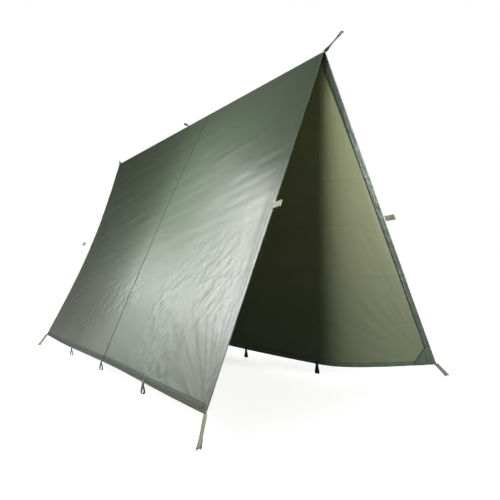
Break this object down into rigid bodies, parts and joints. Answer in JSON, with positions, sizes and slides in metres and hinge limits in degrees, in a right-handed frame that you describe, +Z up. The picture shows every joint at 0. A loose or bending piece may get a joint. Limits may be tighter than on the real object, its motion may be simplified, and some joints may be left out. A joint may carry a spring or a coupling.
{
  "type": "ridge tarp tent",
  "caption": "Rectangular coated-fabric tarp pitched over a ridge as an open-ended tent, with sewn hems, a centre seam, corner patches and webbing loops for pegs and guy cords.",
  "frame": {"origin": "on the ground, under the middle of the pitched tent's outer box", "axes": "+Y along the ridge towards the closed-in back end, +X across the tent to the right-hand slope as seen from the open front, +Z up"},
  "size_m": [1.8346, 3.309, 2.0219],
  "materials": {
    "outer_cloth": "satin, coated woven polyester",
    "inner_facing": "satin, double cloth",
    "webbing": "matt woven webbing",
    "dark_webbing": "matt woven webbing in shade",
    "bar_tack": "dense stitching"
  },
  "bodies": {
    "ridge": {"ridge_back_patch": "inner_facing", "ridge_crest_back": "outer_cloth", "ridge_crest_front": "outer_cloth", "ridge_front_patch": "inner_facing", "ridge_middle_patch": "inner_facing", "ridge_seam_strip": "inner_facing"},
    "left_slope": {"left_back_corner_patch": "inner_facing", "left_back_hem": "inner_facing", "left_bottom_hem": "inner_facing", "left_centre_seam": "inner_facing", "left_front_corner_patch": "inner_facing", "left_front_hem": "inner_facing", "left_panel_back": "outer_cloth", "left_panel_front": "outer_cloth", "left_tack_patches": "bar_tack"},
    "right_slope": {"right_back_corner_patch": "inner_facing", "right_back_hem": "inner_facing", "right_bottom_hem": "inner_facing", "right_centre_seam": "inner_facing", "right_front_corner_patch": "inner_facing", "right_front_hem": "inner_facing", "right_panel_back": "outer_cloth", "right_panel_front": "outer_cloth", "right_tack_patches": "bar_tack"},
    "left_front_corner_strap": {"left_front_corner_strap": "webbing"},
    "left_back_corner_strap": {"left_back_corner_strap": "webbing"},
    "left_hem_loop_front": {"left_hem_loop_front": "dark_webbing"},
    "left_hem_loop_middle": {"left_hem_loop_middle": "dark_webbing"},
    "left_hem_loop_back": {"left_hem_loop_back": "dark_webbing"},
    "left_front_edge_loop": {"left_front_edge_loop": "webbing"},
    "left_back_edge_loop": {"left_back_edge_loop": "webbing"},
    "right_front_corner_strap": {"right_front_corner_strap": "webbing"},
    "right_back_corner_strap": {"right_back_corner_strap": "webbing"},
    "right_hem_loop_front": {"right_hem_loop_front": "dark_webbing"},
    "right_hem_loop_middle": {"right_hem_loop_middle": "dark_webbing"},
    "right_hem_loop_back": {"right_hem_loop_back": "dark_webbing"},
    "right_front_edge_loop": {"right_front_edge_loop": "webbing"},
    "right_back_edge_loop": {"right_back_edge_loop": "webbing"},
    "front_ridge_strap": {"front_ridge_strap": "dark_webbing"},
    "back_ridge_strap": {"back_ridge_strap": "dark_webbing"},
    "ridge_middle_loop": {"ridge_middle_loop": "dark_webbing"}
  },
  "joints": [
    {"name": "left_slope_fold", "type": "hinge", "parent": "ridge", "child": "left_slope", "pos_m": [-0.06654, 0.02605, 1.948], "axis": [0, 1, 0], "range_deg": [-15, 38]},
    {"name": "right_slope_fold", "type": "hinge", "parent": "ridge", "child": "right_slope", "pos_m": [-0.06654, 0.02605, 1.948], "axis": [0, -1, 0], "range_deg": [-8, 46]},
    {"name": "left_front_corner_strap_swing", "type": "hinge", "parent": "left_slope", "child": "left_front_corner_strap", "pos_m": [-0.85354, -1.44695, 0.115], "axis": [0.766, -0.6428, 0], "range_deg": [0, 75]},
    {"name": "left_back_corner_strap_swing", "type": "hinge", "parent": "left_slope", "child": "left_back_corner_strap", "pos_m": [-0.77554, 1.54705, 0.112], "axis": [-0.766, -0.6428, 0], "range_deg": [0, 75]},
    {"name": "left_hem_loop_front_swing", "type": "hinge", "parent": "left_slope", "child": "left_hem_loop_front", "pos_m": [-0.77771, -0.67993, 0.08245], "axis": [0, 1, 0], "range_deg": [-50, 80]},
    {"name": "left_hem_loop_middle_swing", "type": "hinge", "parent": "left_slope", "child": "left_hem_loop_middle", "pos_m": [-0.7526, 0.07005, 0.08244], "axis": [0, 1, 0], "range_deg": [-50, 80]},
    {"name": "left_hem_loop_back_swing", "type": "hinge", "parent": "left_slope", "child": "left_hem_loop_back", "pos_m": [-0.75636, 0.77605, 0.08244], "axis": [0, 1, 0], "range_deg": [-50, 80]},
    {"name": "left_front_edge_loop_swing", "type": "hinge", "parent": "left_slope", "child": "left_front_edge_loop", "pos_m": [-0.4665, -1.4618, 1.03516], "axis": [0.3887, -0.014, 0.9212], "range_deg": [-75, 75]},
    {"name": "left_back_edge_loop_swing", "type": "hinge", "parent": "left_slope", "child": "left_back_edge_loop", "pos_m": [-0.42744, 1.53797, 1.03338], "axis": [0.3543, -0.0102, 0.9351], "range_deg": [-75, 75]},
    {"name": "right_front_corner_strap_swing", "type": "hinge", "parent": "right_slope", "child": "right_front_corner_strap", "pos_m": [0.81646, -1.61795, 0.101], "axis": [0.2419, 0.9703, 0], "range_deg": [0, 75]},
    {"name": "right_back_corner_strap_swing", "type": "hinge", "parent": "right_slope", "child": "right_back_corner_strap", "pos_m": [0.53346, 1.18905, 0.1], "axis": [-0.7071, 0.7071, 0], "range_deg": [0, 75]},
    {"name": "right_hem_loop_front_swing", "type": "hinge", "parent": "right_slope", "child": "right_hem_loop_front", "pos_m": [0.33374, -1.01693, 0.07631], "axis": [0, 1, 0], "range_deg": [-80, 50]},
    {"name": "right_hem_loop_middle_swing", "type": "hinge", "parent": "right_slope", "child": "right_hem_loop_middle", "pos_m": [0.31173, -0.26704, 0.07629], "axis": [0, 1, 0], "range_deg": [-80, 50]},
    {"name": "right_hem_loop_back_swing", "type": "hinge", "parent": "right_slope", "child": "right_hem_loop_back", "pos_m": [0.35314, 0.43904, 0.07634], "axis": [0, 1, 0], "range_deg": [-80, 50]},
    {"name": "right_front_edge_loop_swing", "type": "hinge", "parent": "right_slope", "child": "right_front_edge_loop", "pos_m": [0.38166, -1.54665, 1.02874], "axis": [-0.4245, 0.0701, 0.9027], "range_deg": [-75, 75]},
    {"name": "right_back_edge_loop_swing", "type": "hinge", "parent": "right_slope", "child": "right_back_edge_loop", "pos_m": [0.24032, 1.35866, 1.02675], "axis": [-0.298, 0.1715, 0.939], "range_deg": [-75, 75]},
    {"name": "front_ridge_strap_swing", "type": "hinge", "parent": "ridge", "child": "front_ridge_strap", "pos_m": [-0.06654, -1.47585, 1.959], "axis": [1, 0, 0], "range_deg": [-60, 85]},
    {"name": "back_ridge_strap_swing", "type": "hinge", "parent": "ridge", "child": "back_ridge_strap", "pos_m": [-0.06654, 1.53096, 1.959], "axis": [-0.9336, 0.3584, 0], "range_deg": [-60, 85]},
    {"name": "ridge_middle_loop_swing", "type": "hinge", "parent": "ridge", "child": "ridge_middle_loop", "pos_m": [-0.06654, 0.02605, 1.9619], "axis": [1, 0, 0], "range_deg": [-18, 130]}
  ]
}
